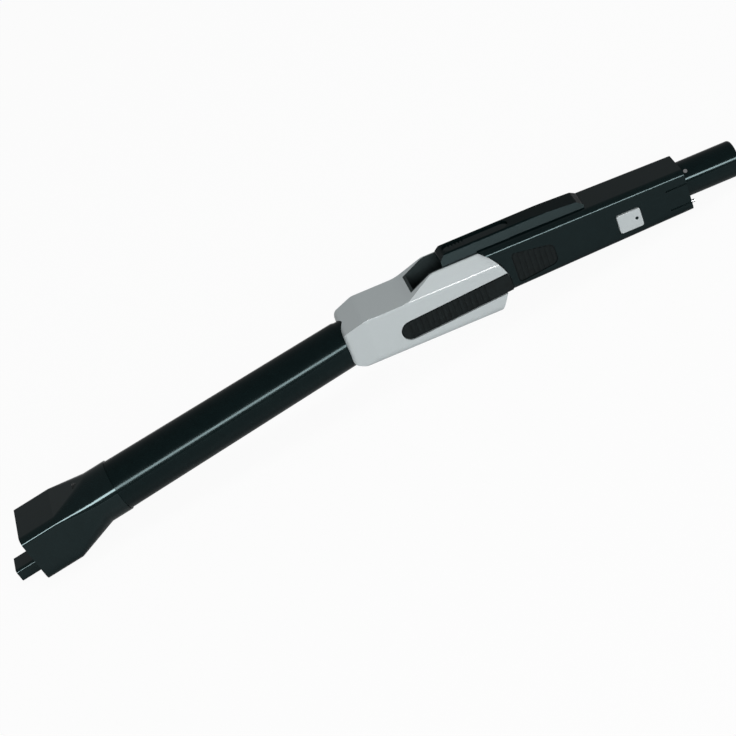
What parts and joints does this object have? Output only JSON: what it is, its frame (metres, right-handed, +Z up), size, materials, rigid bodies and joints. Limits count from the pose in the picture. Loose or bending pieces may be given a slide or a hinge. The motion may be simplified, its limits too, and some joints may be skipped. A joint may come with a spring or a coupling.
{
  "type": "flexible vacuum wand",
  "caption": "Folding vacuum wand: tapered tube with a floor-head collar and plug, a hinged knuckle with a release lever, and a handle ending in an air spigot.",
  "frame": {"origin": "floor point under the middle of the wand as it lies at rest", "axes": "+X from the floor-head end to the spigot, +Z up, Y along the fold hinge's axis"},
  "size_m": [0.7312, 0.06, 0.0792],
  "materials": {
    "tube_black": "semi-gloss",
    "gloss_black": "gloss",
    "plug_black": "satin",
    "handle_black": "semi-gloss",
    "knuckle_silver": "satin silver",
    "liner_grey": "matte",
    "ribbed_rubber": "matte",
    "hose_rubber": "matte",
    "button_pale": "satin silver",
    "bright_metal": "bright"
  },
  "bodies": {
    "lower_wand": {"lower_tube": "tube_black", "floor_head_collar": "gloss_black", "head_plug": "plug_black", "plug_pins": "bright_metal", "knuckle_shell": "knuckle_silver", "knuckle_liner": "liner_grey", "side_inlay_near": "ribbed_rubber", "side_inlay_far": "ribbed_rubber", "hinge_pin_near": "bright_metal", "hinge_pin_far": "bright_metal", "hose_cuff_lower": "liner_grey", "duct_hose": "hose_rubber"},
    "handle": {"hinge_tongue": "handle_black", "handle_shell_near": "handle_black", "handle_shell_far": "handle_black", "handle_grip_near": "ribbed_rubber", "handle_grip_far": "ribbed_rubber", "hose_cuff_upper": "liner_grey", "air_spigot": "gloss_black", "detent_stud": "bright_metal", "terminal_pins": "bright_metal", "handle_screws": "bright_metal", "lever_housing": "handle_black", "lever_pin": "bright_metal"},
    "release_lever": {"release_lever": "gloss_black"},
    "side_button": {"side_button": "button_pale"}
  },
  "joints": [
    {"name": "fold_hinge", "type": "hinge", "parent": "lower_wand", "child": "handle", "pos_m": [0.09708, 0, 0.03538], "axis": [0, -1, 0], "range_deg": [0, 75], "deforming": ["duct_hose"]},
    {"name": "lever_press", "type": "hinge", "parent": "handle", "child": "release_lever", "pos_m": [0.1531, 0, 0.06909], "axis": [0, -1, 0], "range_deg": [0, 3], "stiffness_Nm_per_rad": 1, "springref_deg": -2.86},
    {"name": "button_press", "type": "slide", "parent": "handle", "child": "side_button", "axis": [0, 1, 0], "range_m": [0, 0.0025], "stiffness_N_per_m": 800, "springref_m": -0.001}
  ]
}
